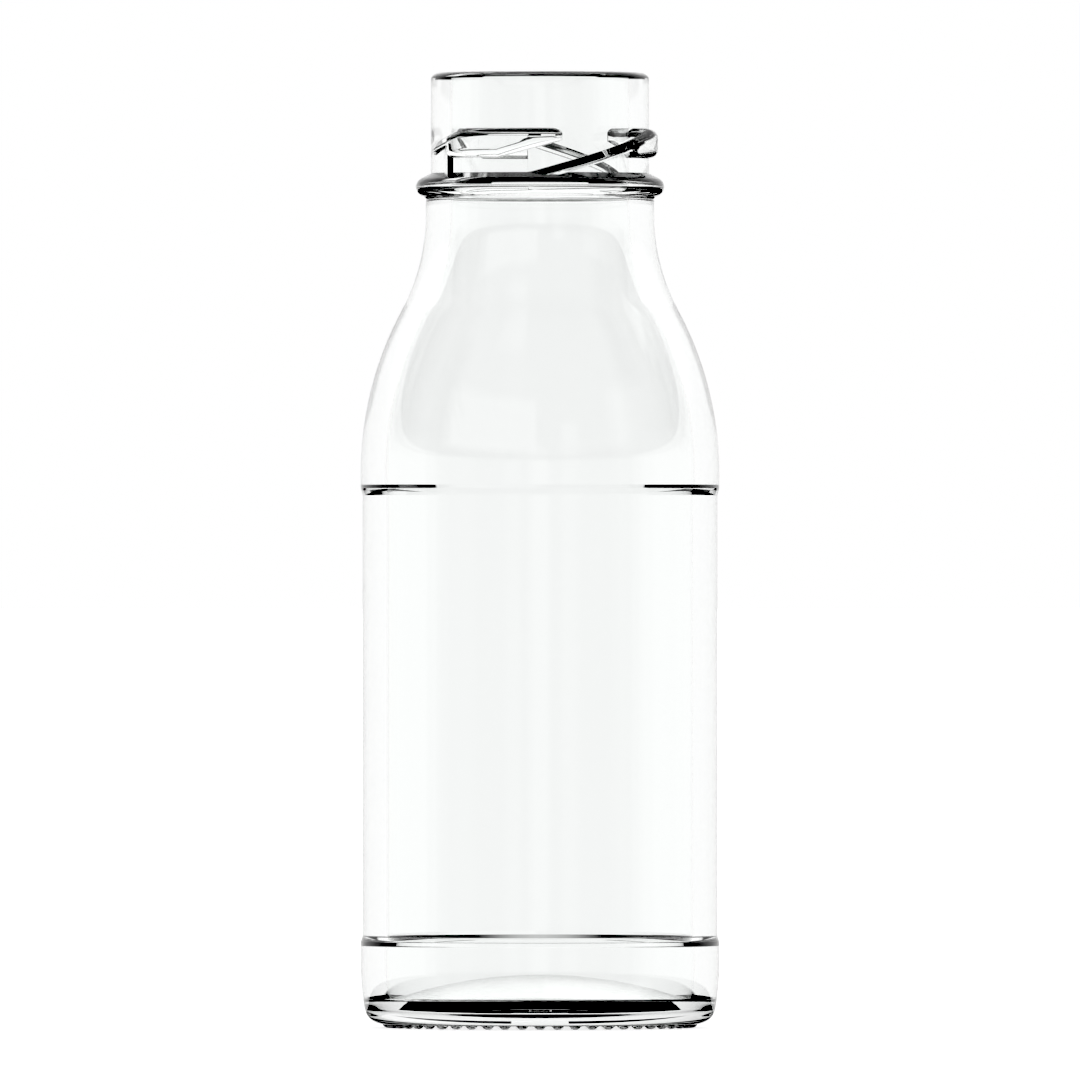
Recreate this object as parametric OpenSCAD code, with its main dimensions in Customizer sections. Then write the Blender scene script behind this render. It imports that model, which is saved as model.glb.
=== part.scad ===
// Clear glass milk bottle with a deep three-lug twist-off finish.
// Millimetres, +Z up, origin at the centre of the plane the bottle stands on, front towards -Y.

/* [Body] */
// Outer diameter of the bands above and below the label panel
body_d = 57.4; // [50:0.1:66]
// Glass thickness, measured level, from the neck down to the heel
wall = 4; // [3:0.1:5]
// Height of the lower edge of the label panel above the ground
panel_z = 13.8; // [12:0.1:20]
// Height of the label panel, edges included
panel_h = 72.5; // [40:0.5:100]
// Depth that the label panel is set in
panel_recess = 0.3; // [0.1:0.05:0.8]
// Height that the panel's lower edge takes to run in
panel_foot_h = 0.8; // [0.6:0.1:2]
// Height that the panel's upper edge takes to run in
panel_head_h = 1.1; // [0.6:0.1:2]
// Straight band between the panel and the shoulder
shoulder_band_h = 2.4; // [1:0.1:6]

/* [Base] */
// Radius of the corner between the bearing ring and the heel
heel_r = 3.6; // [3:0.1:5]
// Radius of the long curve that leads from the heel up to the body
heel_sweep_r = 48; // [40:1:80]
// Height at which that curve has become the upright wall
heel_h = 10.8; // [9:0.1:11.8]
// Radius of the hollow under the base, at the bearing ring
punt_r = 23.4; // [18:0.1:23.4]
// Depth of the hollow under the base
punt_depth = 4; // [2:0.1:6]
// Thickness of the base in its middle
base_t = 4; // [3:0.1:5]
// Fillet inside, between the floor and the wall
floor_fillet = 0.5; // [0.3:0.1:2]
// Number of stipples around the bearing ring
stipple_count = 54; // [24:1:60]
// Height of each stipple
stipple_h = 0.55; // [0.3:0.05:0.7]
// Radius of the ball that forms each stipple
stipple_r = 1.1; // [0.8:0.05:1.2]

/* [Shoulder and neck] */
// Outer diameter of the neck
neck_d = 36.5; // [34:0.1:38]
// Radius of the shoulder's outward curve
shoulder_r = 55; // [40:1:70]
// Radius of the hollow curve between the shoulder and the neck
neck_sweep_r = 33; // [20:1:45]
// Height from the end of the shoulder to the middle of the bead
neck_h = 4.2; // [3.5:0.1:10]

/* [Finish] */
// Outer diameter of the finish above the bead
finish_d = 34.9; // [34:0.1:36]
// Height from the middle of the bead to the top of the lip
finish_h = 18.3; // [17:0.1:22]
// Outer diameter of the bead
bead_d = 39.5; // [38.5:0.1:41]
// Radius of the bead's nose
bead_r = 1.45; // [1.2:0.05:1.6]
// Radius of the fillets above and below the bead
bead_fillet = 0.7; // [0.4:0.05:0.9]
// Height of the lip's rounded edge
lip_h = 1.05; // [0.6:0.05:1.5]
// Width of the lip's outer rounding
lip_out = 1.75; // [1:0.05:2]
// Width of the lip's inner rounding
lip_in = 1; // [0.5:0.05:1]

/* [Lugs] */
// Outer diameter over the lugs
lug_d = 37.8; // [37:0.1:38.4]
// Distance from the top of the lip down to the lugs
lug_drop = 9.1; // [7:0.1:9.4]
// Height of a lug at its seat
lug_h = 4.65; // [4:0.05:5]
// Height of a lug's thin end
ridge_h = 1.7; // [1.5:0.05:2.4]
// Height of a lug at its leading tip
tip_h = 1.95; // [1.6:0.05:3]
// Height of the rounding at the top and bottom of a lug
lug_round = 1.5; // [0.6:0.05:1.8]
// Rise of the lug's helix in one turn
lug_lead = 30.6; // [20:0.1:36]
// Rise of the lug's underside in one turn, ahead of its seat
seat_lead = 28.8; // [16:0.1:36]
// Number of lugs
lug_count = 3; // [3:1:3]
// Direction of the first lug's leading tip, from the front towards +X
lug_angle = 11.8; // [0:0.1:40]
// Arc from the tip over which the top stays level
lug_level = 54.7; // [30:0.1:60]
// Arc from the tip to the stop under the lug
stop_arc = 64.5; // [60:0.5:68]
// Arc from the tip to the end of the first lug's thin end
short_arc = 84; // [80:1:95]
// Arc from the tip to where the other lugs' thin ends run into the bead
long_arc = 131; // [120:1:134]
// How far the stop stands out from the finish
stop_out = 1.1; // [0.6:0.05:1.4]
// Arc over which the back of the stop slopes away
stop_slope = 8; // [5:0.5:12]

/* [Hidden] */

glass = [0.86, 0.93, 0.9, 0.45];
turn_fn = 144;

body_r = body_d / 2;
panel_r = body_r - panel_recess;
neck_r = neck_d / 2;
bore_r = neck_r - wall;
finish_r = finish_d / 2;
lug_crest = lug_d / 2 - finish_r;

// The two tangent arcs of the shoulder turn through the same angle
shoulder_turn = acos(1 - (body_r - neck_r) / (shoulder_r + neck_sweep_r));
shoulder_z = panel_z + panel_h + shoulder_band_h;
neck_z = shoulder_z + (shoulder_r + neck_sweep_r) * sin(shoulder_turn);
bead_z = neck_z + neck_h;
height = bead_z + finish_h;

// Base: the hollow underneath and the floor share one centre
ring_z = stipple_h;
punt_ball = (punt_r * punt_r + punt_depth * punt_depth) / (2 * punt_depth);
punt_cz = ring_z + punt_depth - punt_ball;
floor_ball = punt_ball + base_t;
floor_z = punt_cz + floor_ball;

// Heel corner, tangent to the bearing ring and to the long curve above it
sweep_cx = body_r - heel_sweep_r;
heel_cz = ring_z + heel_r;
heel_cx = sweep_cx + sqrt(pow(heel_sweep_r - heel_r, 2) - pow(heel_h - heel_cz, 2));
heel_turn = atan2(heel_cz - heel_h, heel_cx - sweep_cx);

// Fillet between the floor and the inside of the wall
fillet_c = meet([0, punt_cz], floor_ball + floor_fillet, [sweep_cx - wall, heel_h], heel_sweep_r - floor_fillet);
fillet_foot = atan2(punt_cz - fillet_c[1], -fillet_c[0]);
fillet_head = atan2(fillet_c[1] - heel_h, fillet_c[0] - sweep_cx + wall);

// Lugs
lug_top = height - lug_drop;
lug_reach = [short_arc, long_arc, long_arc];
stop_lugs = [0, 2];
embed = 0.6;
end_round = 5;
section_step = 3;
end_steps = [0, 0.12, 0.3, 0.6];
ridge_fullness = 0.85;
lug_flank = 0.1;

// The outer one of the points where two circles meet
function meet(c0, r0, c1, r1) =
    let (span = norm(c1 - c0),
         along = (span * span + r0 * r0 - r1 * r1) / (2 * span),
         aside = sqrt(r0 * r0 - along * along),
         u = (c1 - c0) / span)
    c0 + along * u + aside * [abs(u[1]), -sign(u[1]) * u[0]];

// Points along an arc about [cx, cz] with radii rx and rz, from angle a to angle b
function arc(cx, cz, rx, rz, a, b, steps) =
    [for (i = [0:steps]) let (t = a + (b - a) * i / steps) [cx + rx * cos(t), cz + rz * sin(t)]];

// An upright S of two equal arcs, from [r0, z0] up to [r1, z0 + h]
function s_step(r0, r1, z0, h, steps) =
    let (d = abs(r1 - r0),
         bend = (h * h + d * d) / (4 * d),
         turn = asin(h / 2 / bend),
         side = sign(r1 - r0))
    concat(
        [for (i = [0:steps]) let (t = turn * i / steps)
            [r0 + side * bend * (1 - cos(t)), z0 + bend * sin(t)]],
        [for (i = [steps - 1:-1:0]) let (t = turn * i / steps)
            [r1 - side * bend * (1 - cos(t)), z0 + h - bend * sin(t)]]);

// Upright side of the body from the heel to the neck, moved in by the given amount
function body_side(inset) = concat(
    s_step(body_r - inset, panel_r - inset, panel_z, panel_foot_h, 4),
    s_step(panel_r - inset, body_r - inset, panel_z + panel_h - panel_head_h, panel_head_h, 4),
    arc(body_r - shoulder_r - inset, shoulder_z, shoulder_r, shoulder_r, 0, shoulder_turn, 12),
    arc(neck_r + neck_sweep_r - inset, neck_z, neck_sweep_r, neck_sweep_r,
        180 + shoulder_turn, 180, 12));

// Angle at which a fillet that touches a wall of radius r meets the bead's nose
function bead_turn(r) = acos((r + bead_fillet - bead_d / 2 + bead_r) / (bead_r + bead_fillet));

// The bead: hollow fillet, round nose, hollow fillet
function bead_side() =
    let (below = bead_turn(neck_r),
         above = bead_turn(finish_r),
         reach = bead_r + bead_fillet,
         cx = bead_d / 2 - bead_r)
    concat(
        arc(neck_r + bead_fillet, bead_z - reach * sin(below), bead_fillet, bead_fillet,
            180, 180 - below, 6),
        arc(cx, bead_z, bead_r, bead_r, -below, above, 14),
        arc(finish_r + bead_fillet, bead_z + reach * sin(above), bead_fillet, bead_fillet,
            180 + above, 180, 6));

// Outside of the glass, from the middle of the hollow underneath up to the lip
function outside() = concat(
    arc(0, punt_cz, punt_ball, punt_ball, 90, acos(punt_r / punt_ball), 16),
    arc(heel_cx, heel_cz, heel_r, heel_r, -90, heel_turn, 10),
    arc(sweep_cx, heel_h, heel_sweep_r, heel_sweep_r, heel_turn, 0, 5),
    body_side(0),
    bead_side(),
    arc(finish_r - lip_out, height - lip_h, lip_out, lip_h, 0, 90, 8));

// Inside of the glass, from the middle of the floor up to the lip
function inside() = concat(
    arc(0, punt_cz, floor_ball, floor_ball, 90, 180 + fillet_foot, 14),
    arc(fillet_c[0], fillet_c[1], floor_fillet, floor_fillet, fillet_foot, fillet_head, 5),
    arc(sweep_cx - wall, heel_h, heel_sweep_r, heel_sweep_r, fillet_head, 0, 4),
    body_side(wall),
    arc(bore_r + lip_in, height - lip_h, lip_in, lip_h, 180, 90, 6));

// A point at radius r and angle a, where 0 is the front and +90 is +X
function polar(r, a, z) = [r * sin(a), -r * cos(a), z];

module glass_wall() {
    above = inside();
    rotate_extrude($fn = turn_fn)
        polygon(concat(outside(), [for (i = [len(above) - 1:-1:0]) above[i]]));
}

module stipples() {
    pitch_r = (punt_r + heel_cx) / 2;
    land = stipple_r - 0.05;
    intersection() {
        for (i = [0:stipple_count - 1])
            rotate([0, 0, i * 360 / stipple_count])
                translate([0, -pitch_r, land]) sphere(r = stipple_r, $fn = 24);
        cylinder(r = body_r, h = heel_cz, $fn = turn_fn);
    }
}

// Height of the lug's top at an arc behind the tip
function lug_head(back) = lug_top - max(0, back - lug_level) * lug_lead / 360;

// Height of the lug's underside: up to the tip, level at the seat, thin past the stop
function lug_foot(back) = back > stop_arc + stop_slope
    ? lug_head(back) - ridge_h
    : back > stop_arc
        ? let (k = (back - stop_arc) / stop_slope)
            (1 - k * k) * (lug_top - lug_h) + k * k * (lug_head(back) - ridge_h)
        : max(lug_top - lug_h, lug_top - tip_h - back * seat_lead / 360);

// How far a ridge stands out near either of its ends
function end_out(back, first, last) =
    let (near = min(back - first, last - back) / end_round)
    near >= 1 ? 1 : sqrt(1 - pow(1 - near, 2));

// Arcs behind the tip at which a ridge gets a section, closer together at its ends
function stations(first, last) =
    let (steps = round((last - first - 2 * end_round) / section_step))
    concat(
        [for (e = end_steps) first + e * end_round],
        [for (i = [0:steps]) first + end_round + (last - first - 2 * end_round) * i / steps],
        [for (i = [len(end_steps) - 1:-1:0]) last - end_steps[i] * end_round]);

// One rounded section of a ridge between heights low and high, standing out by a share of its depth
function section(a, low, high, share) =
    let (half = (high - low) / 2,
         rise = min(lug_round, ridge_fullness * half),
         root = finish_r - embed,
         flank = root + (embed + lug_flank) * share,
         bulge = (min(lug_crest, half) - lug_flank) * share)
    concat(
        [polar(root - embed, a, low)],
        [for (t = [0:22.5:90]) polar(flank + bulge * sin(t), a, low + rise * (1 - cos(t)))],
        [for (t = [90:-22.5:0]) polar(flank + bulge * sin(t), a, high - rise * (1 - cos(t)))],
        [polar(root - embed, a, high)]);

// A solid through rings of points
module skin(rings) {
    n = len(rings[0]);
    last = len(rings) - 1;
    polyhedron(
        points = [for (ring = rings) each ring],
        faces = concat(
            [[for (i = [0:n - 1]) i]],
            [for (k = [0:last - 1], i = [0:n - 1])
                each [[k * n + i, (k + 1) * n + i, k * n + (i + 1) % n],
                      [k * n + (i + 1) % n, (k + 1) * n + i, (k + 1) * n + (i + 1) % n]]],
            [[for (i = [n - 1:-1:0]) last * n + i]]),
        convexity = 6);
}

// A lug with its thin end, which reaches back over the given arc
module lug(tip, reach) {
    skin([for (back = stations(0, reach))
        section(tip - back, lug_foot(back), lug_head(back), end_out(back, 0, reach))]);
}

module stop(tip) {
    a = tip - stop_arc;
    bottom = bead_z + bead_r;
    translate([0, 0, bottom])
        linear_extrude(lug_top - lug_h / 2 - bottom)
            polygon([for (p = [polar(finish_r - embed, a, 0), polar(finish_r + stop_out, a, 0),
                polar(finish_r, a - stop_slope, 0), polar(finish_r - embed, a - stop_slope, 0)])
                [p[0], p[1]]]);
}

module bottle() {
    color(glass) {
        glass_wall();
        stipples();
        for (i = [0:lug_count - 1]) lug(lug_angle + i * 360 / lug_count, lug_reach[i]);
        for (i = stop_lugs) stop(lug_angle + i * 360 / lug_count);
    }
}

bottle();
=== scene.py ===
import math

import bpy
import numpy as np
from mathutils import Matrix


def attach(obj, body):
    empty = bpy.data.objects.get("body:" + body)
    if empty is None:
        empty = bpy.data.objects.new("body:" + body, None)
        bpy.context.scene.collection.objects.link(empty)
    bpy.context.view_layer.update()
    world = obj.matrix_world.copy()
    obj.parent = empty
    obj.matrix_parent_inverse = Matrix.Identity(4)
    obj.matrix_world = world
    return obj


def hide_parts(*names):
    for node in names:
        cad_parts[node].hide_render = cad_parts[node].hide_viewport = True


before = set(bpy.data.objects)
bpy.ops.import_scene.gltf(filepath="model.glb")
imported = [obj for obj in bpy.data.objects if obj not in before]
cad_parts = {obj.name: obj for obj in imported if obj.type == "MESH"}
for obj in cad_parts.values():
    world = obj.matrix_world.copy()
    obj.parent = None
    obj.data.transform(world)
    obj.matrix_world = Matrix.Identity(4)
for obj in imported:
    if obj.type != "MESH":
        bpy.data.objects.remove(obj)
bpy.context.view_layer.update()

# Clear glass milk bottle, dressed for a bright-field studio picture.
# Sizes are in millimetres, as in the part's source; MM turns them into metres. Directions and arcs around
# the bottle are in degrees, turns within an outline in radians. An outline is an array of rows, each one
# a radius and a height.
MM = 0.001

# Body; the panel's lower step starts with a steeper foot
body_r, wall = 57.4 / 2, 4.0
panel_z, panel_h, panel_recess = 13.8, 72.5, 0.3
panel_foot_h, panel_head_h, shoulder_band_h = 0.8, 1.1, 2.4
step_foot_h, step_foot_share = 0.1, 0.24
# Base; the stipples are worn flat where the bottle stands
heel_r, heel_sweep_r, heel_h = 3.0, 48.0, 10.8
punt_r, punt_depth, base_t, floor_fillet = 23.4, 4.0, 4.0, 0.5
stipple_count, stipple_h, stipple_r, stipple_wear = 54, 0.55, 1.1, 0.05
# Shoulder and neck
neck_r, shoulder_r, neck_sweep_r, neck_h = 36.5 / 2, 55.0, 33.0, 4.2
# Finish
finish_r, finish_h = 34.9 / 2, 18.3
bead_out, bead_r, bead_fillet, bead_flank = 39.7 / 2, 1.56, 0.7, math.atan(0.5)
lip_h, lip_out, lip_in = 1.05, 1.75, 1.0
# Lugs; arcs are measured back from the leading tip
lug_count, lug_angle = 3, 11.8
lug_crest = 37.8 / 2 - finish_r
lug_drop, lug_h, ridge_h, tip_h, lug_round = 9.1, 4.65, 1.7, 1.95, 1.5
lug_lead, seat_lead, lug_level = 30.6, 28.8, 54.7
lug_reach, end_round = (84.0, 145.0, 145.0), 5.0
tip_fall, tip_fall_arc = 0.85, 6.5
# A stop closes the seat of two lugs; the seat of the other one thins out more slowly
stop_lugs, stop_arc, stop_slope, stop_out, stop_edge = (0, 2), 64.5, 8.0, 1.1, 0.04
free_seat_arc, free_seat_run, ridge_foot = 74.0, 5.0, 0.12

panel_r = body_r - panel_recess
bore_r = neck_r - wall
turn = math.acos(1 - (body_r - neck_r) / (shoulder_r + neck_sweep_r))
shoulder_z = panel_z + panel_h + shoulder_band_h
neck_z = shoulder_z + (shoulder_r + neck_sweep_r) * math.sin(turn)
bead_z = neck_z + neck_h
height = bead_z + finish_h
punt_ball = (punt_r ** 2 + punt_depth ** 2) / (2 * punt_depth)
punt_cz = stipple_h + punt_depth - punt_ball
floor_ball = punt_ball + base_t
sweep_cx = body_r - heel_sweep_r
heel_cz = stipple_h + heel_r
heel_cx = sweep_cx + math.sqrt((heel_sweep_r - heel_r) ** 2 - (heel_h - heel_cz) ** 2)
heel_turn = math.atan2(heel_cz - heel_h, heel_cx - sweep_cx)
ring_r = (punt_r + heel_cx) / 2
lug_top = height - lug_drop
lug_tips = [lug_angle + no * 360 / lug_count for no in range(lug_count)]

# Rows: a smooth-shaded wall looks straight only if rows stand close beside each of its corners
corner_row = 0.04
ridge_rows, ridge_row_far = 10, 0.25
bead_rows = (0.03, 0.15)
slot_rows, slot_gap, top_rows = 4, 0.5, 6
# The least rise from row to row, and the difference below which two heights are the same
least_rise, touching = 0.002, 1e-9
# Where a lug's rows wait while it has no body: direction, low and high
idle_places = (
    ((55, 145.3, 145.6), (253, 145.3, 145.6)),
    ((185, 144.4, 144.7), (253, 144.4, 144.7), (284, 138.2, 138.5), (330, 137.5, 137.8)),
    ((283, 137.0, 137.2), (352, 136.8, 136.9), (455, 136.8, 136.9)),
)
# Columns: an even spread, the gap that it leaves beside the extra ones, and where those stand beside a
# lug's ends and a stop's face and along a lug's rounded ends
column_count, column_gap = 648, 0.2
end_columns, stop_columns, round_angles = (stop_edge, 0.3), (stop_edge, 0.22), range(0, 91, 10)


def arc(cx, cz, rx, rz, a, b, n):
    """Rows along an arc or a quarter of an ellipse, in n steps."""
    t = np.linspace(a, b, n + 1)
    return np.stack([cx + rx * np.cos(t), cz + rz * np.sin(t)], 1)


def between(r0, z0, r1, z1, n):
    """Rows on the straight line between two points, without the points."""
    return np.stack([np.linspace(r0, r1, n + 2)[1:-1], np.linspace(z0, z1, n + 2)[1:-1]], 1)


def cone_step(r0, r1, z0, h, foot_h=0.0, foot_share=0.0):
    """A short cone between two walls, with close rows at its corners and a steeper foot if asked."""
    near, foot = corner_row / h, foot_h / h
    t, corners, shares = [-near, 0, near, 0.5, 1 - near, 1, 1 + near], [0, 1], [0, 1]
    if foot_h:
        t[3:3] = [foot - near / 2, foot, foot + near]
        corners, shares = [0, foot, 1], [0, foot_share, 1]
    return np.stack([r0 + (r1 - r0) * np.interp(t, corners, shares), z0 + h * np.array(t)], 1)


def body_side(inset):
    """The wall from the panel's foot to the neck, or the same wall set in evenly."""
    foot_z = panel_z - inset * math.tan(math.atan(panel_recess / panel_foot_h) / 2)
    head_z = panel_z + panel_h + inset * math.tan(math.atan(panel_recess / panel_head_h) / 2)
    return np.concatenate([
        cone_step(body_r - inset, panel_r - inset, foot_z, panel_foot_h, step_foot_h, step_foot_share),
        cone_step(panel_r - inset, body_r - inset, head_z - panel_head_h, panel_head_h),
        arc(body_r - shoulder_r - inset, shoulder_z, shoulder_r, shoulder_r, 0, turn, 30),
        arc(neck_r + neck_sweep_r - inset, neck_z, neck_sweep_r, neck_sweep_r,
            math.pi + turn, math.pi, 30)[1:],
    ])


def meet(c0, r0, c1, r1):
    """The outer one of the points where two circles meet."""
    c0, c1 = np.array(c0), np.array(c1)
    span = np.linalg.norm(c1 - c0)
    along = (span ** 2 + r0 ** 2 - r1 ** 2) / (2 * span)
    aside = math.sqrt(r0 ** 2 - along ** 2)
    u = (c1 - c0) / span
    return c0 + along * u + aside * np.array([abs(u[1]), -math.copysign(1, u[1]) * u[0]])


# The bead's arc runs from the fillet over the neck to a sloping flank under the finish
low_turn = math.acos((neck_r + bead_fillet - bead_out + bead_r) / (bead_r + bead_fillet))
high_turn = math.pi / 2 - bead_flank
flank_r = bead_out - bead_r + bead_r * math.cos(high_turn)
flank_z = bead_z + bead_r * math.sin(high_turn)
straight_z = flank_z + (flank_r - finish_r) * math.tan(bead_flank)
# The hollow base has closer rows where the stipples reach into it
punt_far, punt_near = ring_r - 1.3, ring_r - 1.2

below_finish = np.concatenate([
    arc(0, punt_cz, punt_ball, punt_ball, math.pi / 2, math.acos(punt_far / punt_ball), 26),
    arc(0, punt_cz, punt_ball, punt_ball,
        math.acos(punt_near / punt_ball), math.acos(punt_r / punt_ball), 7),
    between(punt_r, stipple_h, heel_cx, stipple_h, 7),
    arc(heel_cx, heel_cz, heel_r, heel_r, -math.pi / 2, heel_turn, 30),
    arc(sweep_cx, heel_h, heel_sweep_r, heel_sweep_r, heel_turn, 0, 10)[1:],
    body_side(0),
    arc(neck_r + bead_fillet, bead_z - (bead_r + bead_fillet) * math.sin(low_turn),
        bead_fillet, bead_fillet, math.pi, math.pi - low_turn, 10),
    arc(bead_out - bead_r, bead_z, bead_r, bead_r, -low_turn, high_turn, 36)[1:],
    between(flank_r, flank_z, finish_r, straight_z, 11),
    [[finish_r + corner_row, straight_z - corner_row / 2], [finish_r, straight_z]],
])
lip_outer = arc(finish_r - lip_out, height - lip_h, lip_out, lip_h, 0, math.pi / 2, 18)

# Inside, a fillet joins the rounded floor to the wall
fillet_x, fillet_z = meet((0, punt_cz), floor_ball + floor_fillet,
                          (sweep_cx - wall, heel_h), heel_sweep_r - floor_fillet)
foot_turn = math.atan2(punt_cz - fillet_z, -fillet_x)
head_turn = math.atan2(fillet_z - heel_h, fillet_x - sweep_cx + wall)
inside = np.concatenate([
    arc(0, punt_cz, floor_ball, floor_ball, math.pi / 2, math.pi + foot_turn, 30),
    arc(fillet_x, fillet_z, floor_fillet, floor_fillet, foot_turn, head_turn, 8)[1:],
    arc(sweep_cx - wall, heel_h, heel_sweep_r, heel_sweep_r, head_turn, 0, 10)[1:],
    body_side(wall),
    arc(bore_r + lip_in, height - lip_h, lip_in, lip_h, math.pi, math.pi / 2, 14),
])


def smooth(x):
    """From zero to one with a level start and end."""
    x = min(max(x, 0.0), 1.0)
    return x * x * (3 - 2 * x)


def lug_head(back):
    """Top of a lug: rounded down at its tip, level over the seat, then falling towards the bead."""
    fall = tip_fall * (1 - math.sqrt(1 - max(0.0, 1 - back / tip_fall_arc) ** 2))
    return lug_top - fall - max(0.0, back - lug_level) * lug_lead / 360


def thinned(no, back):
    """Zero along a lug's seat, one where it has become the thin lead-in ridge."""
    with_stop = (stop_arc - stop_edge, 2 * stop_edge)
    seat_end, run = with_stop if no in stop_lugs else (free_seat_arc, free_seat_run)
    return smooth((back - seat_end) / run)


def lug_foot(no, back):
    """Underside of a lug: down from the tip, level at the seat, then close under the top."""
    seat, thin = lug_top - lug_h, thinned(no, back)
    if thin > 0:
        return seat + (lug_head(back) - ridge_h - seat) * thin
    return max(seat, lug_top - tip_h - back * seat_lead / 360)


def end_out(back, reach):
    """How far a lug stands out, as a share: one along it, rounded to zero at both ends."""
    near = min(back, reach - back) / end_round
    if near >= 1:
        return 1.0
    return math.sqrt(1 - (1 - near) ** 2) if near > 0 else 0.0


class Ridge:
    """A lug's section: rounded at its seat, with a sloping top and a sharp foot where it is thin."""

    # the most of the height that the rounded top takes, and the most of the rest that the foot takes
    top_share, foot_share = 0.66, 0.92
    # the most that a section stands out for its height, and how much less it is where it is thin
    out_share, thin_loss = 0.7, 0.18

    def __init__(self, low, high, share, thin=0.0):
        self.low, self.high, self.thin = low, high, thin
        self.upper = min(lug_round, self.top_share * (high - low))
        self.lower = min(lug_round, self.foot_share * (high - low - self.upper))
        self.lower += (ridge_foot - self.lower) * thin
        self.out = min(lug_crest, (self.out_share - self.thin_loss * thin) * (high - low)) * share

    def rows(self):
        """Rows from just under the ridge to just over it."""
        t = np.linspace(0, math.pi / 2, ridge_rows + 1)
        bulge, rise = np.sin(t), 1 - np.cos(t)
        foot = np.stack([finish_r + self.out * bulge, self.low + self.lower * rise], 1)
        head = np.stack([finish_r + self.out * (bulge + (rise - bulge) * self.thin),
                         self.high - self.upper * rise], 1)
        under = [[finish_r, self.low - gap] for gap in (ridge_row_far, corner_row)]
        over = [[finish_r, self.high + gap] for gap in (corner_row, ridge_row_far)]
        return np.concatenate([under, foot, head[::-1], over])

    def radius(self, z):
        """Where the surface is at one height."""
        if not self.low < z < self.high:
            return finish_r
        rise = (z - self.low) / self.lower
        if rise < 1:
            return finish_r + self.out * math.sqrt(1 - (1 - rise) ** 2)
        rise = min((self.high - z) / self.upper, 1)
        bulge = math.sqrt(1 - (1 - rise) ** 2)
        return finish_r + self.out * (bulge + (rise - bulge) * self.thin)


def idle_band(no, theta):
    """Where the rows of a lug are at a direction where it has no body: low and high."""
    tip, reach = lug_tips[no], lug_reach[no]
    places = ((tip, lug_foot(no, 0), lug_head(0)), *idle_places[no],
              (tip + 360 - reach, lug_foot(no, reach), lug_head(reach)))
    if theta < tip:
        theta += 360
    for (a, low_a, high_a), (b, low_b, high_b) in zip(places, places[1:]):
        if theta <= b:
            k = smooth((theta - a) / (b - a))
            return low_a + (low_b - low_a) * k, high_a + (high_b - high_a) * k
    return places[-1][1:]


def lug_bands(theta, backs):
    """Every lug's section at one direction, the first one's on top; idle ones keep under a real one."""
    bands, ceiling = [], height
    for no, back in enumerate(backs):
        if back <= lug_reach[no]:
            low, high = lug_foot(no, back), lug_head(back)
            band = Ridge(low, high, end_out(back, lug_reach[no]), thinned(no, back))
            ceiling = low
        else:
            low, high = idle_band(no, theta)
            over = max(0.0, high + slot_gap - ceiling)
            band = Ridge(low - over, high - over, 0.0)
        bands.append(band)
    return bands


def finish_side(bands):
    """Outside of the finish from the bead to the lip."""
    parts = [np.array([[finish_r, straight_z + rise] for rise in bead_rows])]
    for band in reversed(bands):
        rows, last = band.rows(), parts[-1][-1, 1]
        parts += [between(finish_r, last, finish_r, max(rows[0, 1], last), slot_rows), rows]
    parts.append(between(finish_r, parts[-1][-1, 1], finish_r, height - lip_h, top_rows))
    side = np.concatenate(parts)
    # rows keep their order and stay above the bead; a moved row takes the outline at its new height
    rise = least_rise * np.arange(1, len(side) + 1)
    z = np.maximum.accumulate(np.maximum(side[:, 1] - rise, straight_z)) + rise
    moved = z > side[:, 1] + touching
    moved[:len(bead_rows)] = True
    side[moved, 0] = [max(b.radius(at) for b in bands) for at in z[moved]]
    side[:, 1] = z
    return side


def column_directions():
    """Directions of the columns, closer together at the lugs' ends and at each stop's steep face."""
    directions = [i * 360 / column_count for i in range(column_count)]
    rounded = [end_round * (1 - math.cos(math.radians(t))) for t in round_angles]
    for no, tip in enumerate(lug_tips):
        end, face = tip - lug_reach[no], tip - stop_arc
        marks = [tip + e for e in end_columns] + [tip - e for e in rounded]
        marks += [end + e for e in rounded] + [end - e for e in end_columns]
        if no in stop_lugs:
            marks += [face + way * e for way in (-1, 1) for e in stop_columns]
        marks = [m % 360 for m in marks]
        directions = [d for d in directions if min(abs(d - m) for m in marks) > column_gap] + marks
    return sorted(directions)


def run_into_bead(side, bands):
    """The end of a ridge runs into the bead."""
    flank = (np.arange(len(side)) < len(below_finish)) & (side[:, 1] > bead_z)
    for i in np.nonzero(flank)[0]:
        side[i, 0] = max(side[i, 0], *(b.radius(side[i, 1]) for b in bands))


def add_stops(side, backs):
    """The stops under two of the lugs, steep in front and sloping away behind."""
    under = (side[:, 1] > bead_z) & (side[:, 1] < lug_top - lug_h / 2)
    for no in stop_lugs:
        past = backs[no] - stop_arc
        if 0 < past < stop_slope:
            stop_r = finish_r + stop_out * (1 - past / stop_slope)
            side[under, 0] = np.maximum(side[under, 0], stop_r)


def add_stipples(side, theta):
    """The stipples on the bearing ring."""
    step = 2 * math.pi / stipple_count
    off = (math.radians(theta) + step / 2) % step - step / 2
    near = (np.abs(side[:, 0] - ring_r) < stipple_r) & (side[:, 1] < heel_cz)
    for i in np.nonzero(near)[0]:
        away = side[i, 0] ** 2 + ring_r ** 2 - 2 * side[i, 0] * ring_r * math.cos(off)
        if away < stipple_r ** 2:
            ball = stipple_r - stipple_wear - math.sqrt(stipple_r ** 2 - away)
            side[i, 1] = min(side[i, 1], max(0.0, ball))


def column(theta):
    """All rows at one direction, from the middle of the base over the lip to the middle of the floor."""
    backs = [(tip - theta) % 360 for tip in lug_tips]
    bands = lug_bands(theta, backs)
    side = np.concatenate([below_finish, finish_side(bands), lip_outer])
    run_into_bead(side, bands)
    add_stops(side, backs)
    add_stipples(side, theta)
    return np.concatenate([side, inside[::-1]])


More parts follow.
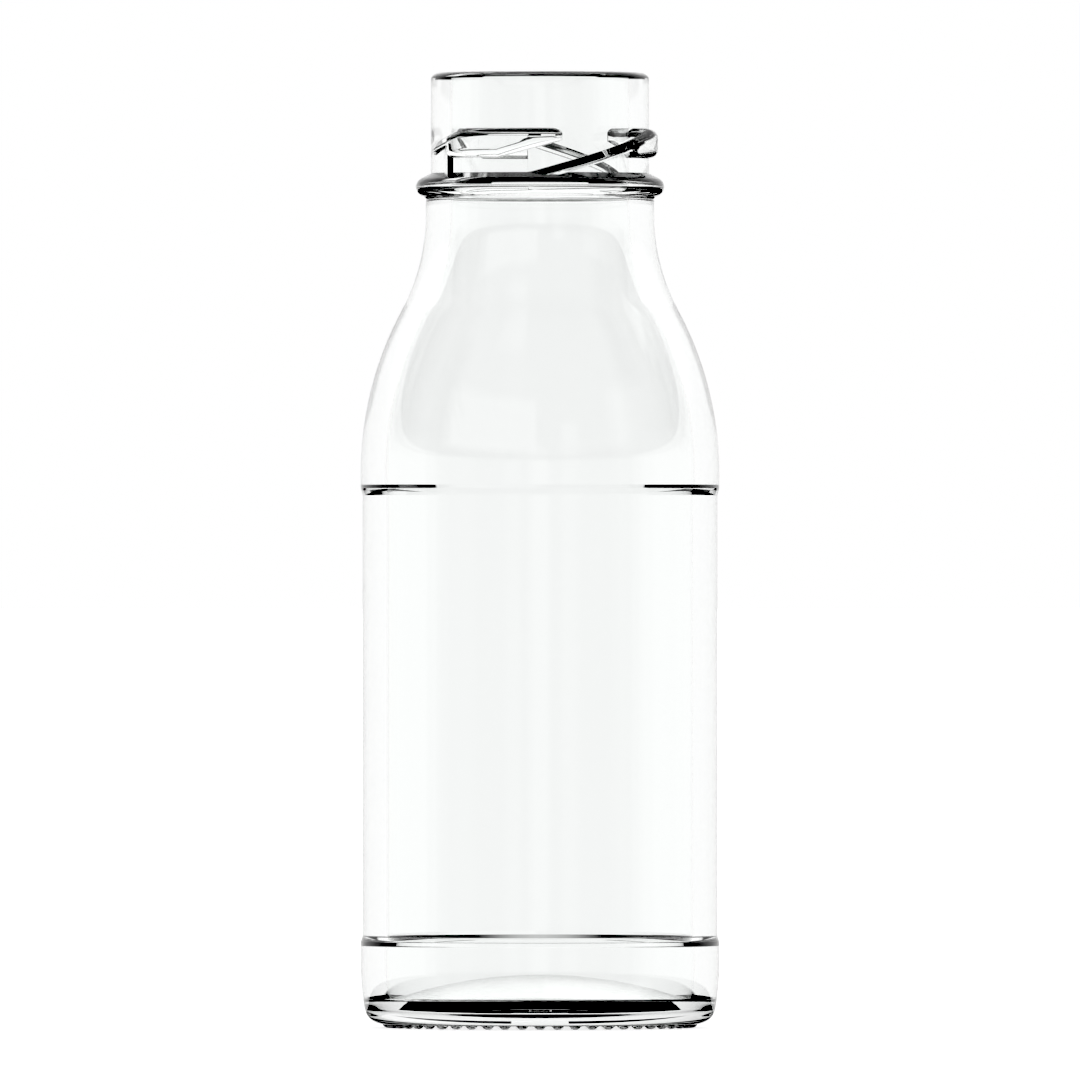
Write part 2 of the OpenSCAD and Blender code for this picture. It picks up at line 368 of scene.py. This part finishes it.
def make_glass():
    """One closed mesh around the bottle's axis, with its first and last rows joined into poles."""
    directions = column_directions()
    grid = np.stack([column(theta) for theta in directions])
    around = np.radians(directions)[:, None]
    radius, z = grid[..., 0], grid[..., 1]
    xyz = np.stack([radius * np.sin(around), -radius * np.cos(around), z], 2) * MM
    count, rows = len(directions), grid.shape[1] - 2
    verts = np.concatenate([xyz[:, 1:-1].reshape(-1, 3), [xyz[0, 0], xyz[0, -1]]])
    low_pole, high_pole = count * rows, count * rows + 1
    this = np.arange(count)[:, None] * rows
    after = (np.arange(count)[:, None] + 1) % count * rows
    row = np.arange(rows - 1)
    quads = np.stack([this + row, after + row, after + row + 1, this + row + 1], 2)
    faces = quads.reshape(-1, 4).tolist()
    starts = list(zip(this[:, 0].tolist(), after[:, 0].tolist()))
    faces += [(low_pole, following, start) for start, following in starts]
    faces += [(high_pole, start + rows - 1, following + rows - 1) for start, following in starts]
    mesh = bpy.data.meshes.new("glass_bottle")
    mesh.from_pydata(verts.tolist(), [], faces)
    mesh.validate()
    mesh.update()
    mesh.shade_smooth()
    obj = bpy.data.objects.new("glass_bottle", mesh)
    bpy.context.scene.collection.objects.link(obj)
    return obj


class Nodes:
    """A short way to write node trees."""

    def __init__(self, tree):
        self.tree = tree
        tree.nodes.clear()

    def add(self, kind, values=(), **settings):
        """A new node with its settings and the values of its inputs."""
        node = self.tree.nodes.new(kind)
        for name, setting in settings.items():
            setattr(node, name, setting)
        for name, value in dict(values).items():
            node.inputs[name].default_value = value
        return node

    def link(self, source, target):
        self.tree.links.new(source, target)

    def math(self, operation, *terms):
        """Each term is a number or the output of another node."""
        node = self.add("ShaderNodeMath", operation=operation)
        for socket, term in zip(node.inputs, terms):
            if isinstance(term, (int, float)):
                socket.default_value = term
            else:
                self.link(term, socket)
        return node.outputs[0]

    def times(self, a, b):
        return self.math("MULTIPLY", a, b)

    def without(self, x):
        """What is left of one."""
        return self.math("SUBTRACT", 1.0, x)

    def larger(self, a, b):
        return self.math("MAXIMUM", a, b)

    def ramp(self, x, a, b, low=0.0, high=1.0):
        """From low before a to high after b."""
        node = self.add("ShaderNodeMapRange",
                        {"From Min": a, "From Max": b, "To Min": low, "To Max": high},
                        interpolation_type="SMOOTHSTEP")
        self.link(x, node.inputs["Value"])
        return node.outputs["Result"]

    def drop(self, x, a, b):
        """One before a, nothing after b."""
        return self.ramp(x, a, b, 1.0, 0.0)

    def window(self, x, a, b, soft):
        """One between a and b, nothing outside, with soft edges."""
        start = self.ramp(x, a - soft / 2, a + soft / 2)
        return self.times(start, self.drop(x, b - soft / 2, b + soft / 2))

    def over(self, under, light, share):
        """One light laid over another one where the share is one."""
        return self.math("ADD", self.times(under, self.without(share)), self.times(share, light))


def new_material(name, values):
    """A material of one principled shader: the material, its nodes and the shader."""
    mat = bpy.data.materials.new(name)
    mat.use_nodes = True
    n = Nodes(mat.node_tree)
    shader = n.add("ShaderNodeBsdfPrincipled", values)
    n.link(shader.outputs[0], n.add("ShaderNodeOutputMaterial").inputs["Surface"])
    return mat, n, shader


def glass_material():
    """Clear glass with the faintest green."""
    mat, n, shader = new_material("clear_glass", {
        "Base Color": (0.992, 1.0, 0.996, 1), "Transmission Weight": 1.0, "IOR": 1.5})
    place = n.add("ShaderNodeTexCoord").outputs["Object"]
    xyz = n.add("ShaderNodeSeparateXYZ")
    n.link(place, xyz.inputs[0])
    # rubbed stipples where the bottle stands: rough below these heights in metres, with a grain
    rubbed = n.drop(xyz.outputs["Z"], 0.0001, 0.0004)
    grain = n.add("ShaderNodeTexNoise", {"Scale": 2600})
    n.link(place, grain.inputs["Vector"])
    roughness = n.times(rubbed, n.ramp(grain.outputs["Fac"], 0.3, 0.7, 0.05, 0.3))
    n.link(roughness, shader.inputs["Roughness"])
    # the faint waviness of blown glass
    wave = n.add("ShaderNodeTexNoise", {"Scale": 60, "Detail": 1})
    n.link(place, wave.inputs["Vector"])
    bump = n.add("ShaderNodeBump", {"Strength": 0.02, "Distance": 0.0004})
    n.link(wave.outputs["Fac"], bump.inputs["Height"])
    n.link(bump.outputs[0], shader.inputs["Normal"])
    return mat


bottle = make_glass()
bottle.data.materials.append(glass_material())
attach(bottle, "root")
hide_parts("bottle")

# Sizes of the floor and places of the camera, in metres
floor_half, floor_drop = 30.0, 0.00002
camera_distance, camera_height, camera_start, camera_end = 4.95, 0.078, 0.1, 100
# The lens: its sensor in millimetres and half its angle of view in degrees
sensor_width, half_view = 36, 1.0
light_bounces, black_level = 40, 0.1


def make_floor():
    """A white floor for the camera and the contact shadow; the glass doesn't see it."""
    mesh = bpy.data.meshes.new("floor")
    corners = [(-1, -1), (1, -1), (1, 1), (-1, 1)]
    mesh.from_pydata([(x * floor_half, y * floor_half, 0) for x, y in corners], [], [(0, 1, 2, 3)])
    obj = bpy.data.objects.new("floor", mesh)
    bpy.context.scene.collection.objects.link(obj)
    obj.location.z = -floor_drop
    mat, _, _ = new_material("pale_floor", {
        "Base Color": (0.8, 0.8, 0.8, 1), "Roughness": 0.9, "Specular IOR Level": 0.0,
        "Emission Color": (1, 1, 1, 1), "Emission Strength": 0.7})
    mesh.materials.append(mat)
    obj.visible_transmission = False
    obj.visible_glossy = False
    return obj


floor = make_floor()

# The studio's light comes from the world alone: a level for each direction, where 1 is white paper.
# Heights are degrees above the horizon. Directions are degrees to the right of straight behind the bottle,
# or of straight behind the camera for the soft boxes; sides are degrees to either hand of straight behind
# the bottle. An edge is where a change starts and ends; a span also has the softness of its two ends.
room_edge, room_levels = (-5, -3.5), (0.12, 0.36)
glow_span, glow_level = (-4, 8, 8), 0.16
# level, span of directions, span of heights
soft_boxes = (
    (0.70, (-8, 5, 1.5), (-4, 8, 1.5)),
    (0.68, (15, 26, 1.5), (-4, 16, 1.5)),
    (0.70, (52, 80, 1.5), (-5, 24, 1.5)),
    (0.62, (-37, -14, 4), (40, 57, 4)),
    (0.62, (-76, -62, 4), (36, 52, 4)),
)
# edge at the sides, edge in height, levels below and above it; the side walls, then the white wall
walls = (
    ((99, 103), (5, 10), (0.98, 0.68)),
    ((66, 70), (6, 19), (1.0, 1.17)),
)
ceiling_edge, ceiling_levels = (42, 70), (1.0, 0.4)
table_edge, table_shade = (-4.9, -4.4), 0.995
paper_span, paper_edge = (-7.2, 7.2, 0.4), (-11, -10)
# a patch of pale floor to the left beyond the bottle, and one to the right on the camera's side
left_span, left_edge = (-62, -30, 6), (-23, -20)
right_span, right_heights = (102, 178, 6), (-25, -7.5, 3)
patch_level = 0.9
back_sides, back_edge, back_level = (100, 112), (-10, -6), 0.42


def room(n, up, around):
    """The dim room behind the camera, a little lighter towards the horizon, with its soft boxes."""
    value = n.math("ADD", n.ramp(up, *room_edge, *room_levels),
                   n.times(n.window(up, *glow_span), glow_level))
    for level, directions, heights in soft_boxes:
        value = n.over(value, level, n.times(n.window(around, *directions), n.window(up, *heights)))
    return value


def walls_and_ceiling(n, value, up, side):
    """The side walls, lit below, the white wall behind the bottle, and less light from above."""
    for sides, heights, levels in walls:
        value = n.over(value, n.ramp(up, *heights, *levels), n.drop(side, *sides))
    return n.times(value, n.ramp(up, *ceiling_edge, *ceiling_levels))


def table(n, value, up, ahead, side):
    """The dark table, seen only through the glass, and what is lighter below the horizon."""
    on_table = n.drop(up, *table_edge)
    # the lit paper that hangs lower in the middle behind the bottle
    paper = n.times(n.window(ahead, *paper_span), n.ramp(up, *paper_edge))
    patches = n.larger(n.times(n.window(ahead, *left_span), n.drop(up, *left_edge)),
                       n.times(n.window(ahead, *right_span), n.window(up, *right_heights)))
    dark = n.times(on_table, n.without(n.larger(paper, patches)))
    value = n.times(value, n.without(n.times(dark, table_shade)))
    value = n.larger(value, n.times(n.times(on_table, patches), patch_level))
    # the dim floor on the camera's side
    behind = n.times(n.ramp(side, *back_sides), n.drop(up, *back_edge))
    return n.larger(value, n.times(behind, back_level))


def studio():
    """The world's light, worked out from the direction alone."""
    world = bpy.data.worlds.new("studio")
    bpy.context.scene.world = world
    world.use_nodes = True
    n = Nodes(world.node_tree)
    light = n.add("ShaderNodeBackground", {"Color": (1, 1, 1, 1)})
    n.link(light.outputs[0], n.add("ShaderNodeOutputWorld").inputs["Surface"])
    xyz = n.add("ShaderNodeSeparateXYZ")
    n.link(n.add("ShaderNodeTexCoord").outputs["Generated"], xyz.inputs[0])
    x, y, z = xyz.outputs
    up = n.math("DEGREES", n.math("ARCSINE", z))
    ahead = n.math("DEGREES", n.math("ARCTAN2", x, y))
    around = n.math("DEGREES", n.math("ARCTAN2", x, n.times(y, -1.0)))
    side = n.math("ABSOLUTE", ahead)
    value = room(n, up, around)
    value = walls_and_ceiling(n, value, up, side)
    value = table(n, value, up, ahead, side)
    n.link(value, light.inputs["Strength"])


def make_camera():
    """A long lens at the height of the bottle's middle."""
    cam = bpy.data.cameras.new("camera")
    cam.sensor_width = sensor_width
    cam.lens = sensor_width / 2 / math.tan(math.radians(half_view))
    cam.clip_start, cam.clip_end = camera_start, camera_end
    obj = bpy.data.objects.new("camera", cam)
    bpy.context.scene.collection.objects.link(obj)
    obj.location = (0, -camera_distance, camera_height)
    obj.rotation_euler = (math.pi / 2, 0, 0)
    return obj


studio()
scene = bpy.context.scene
scene.camera = make_camera()
# A plain view with a raised black level, as in a retouched product photograph
scene.view_settings.view_transform = "Standard"
scene.view_settings.use_curve_mapping = True
levels = scene.view_settings.curve_mapping
levels.black_level = (black_level, black_level, black_level)
levels.update()
scene.cycles.max_bounces = light_bounces
scene.cycles.transmission_bounces = light_bounces
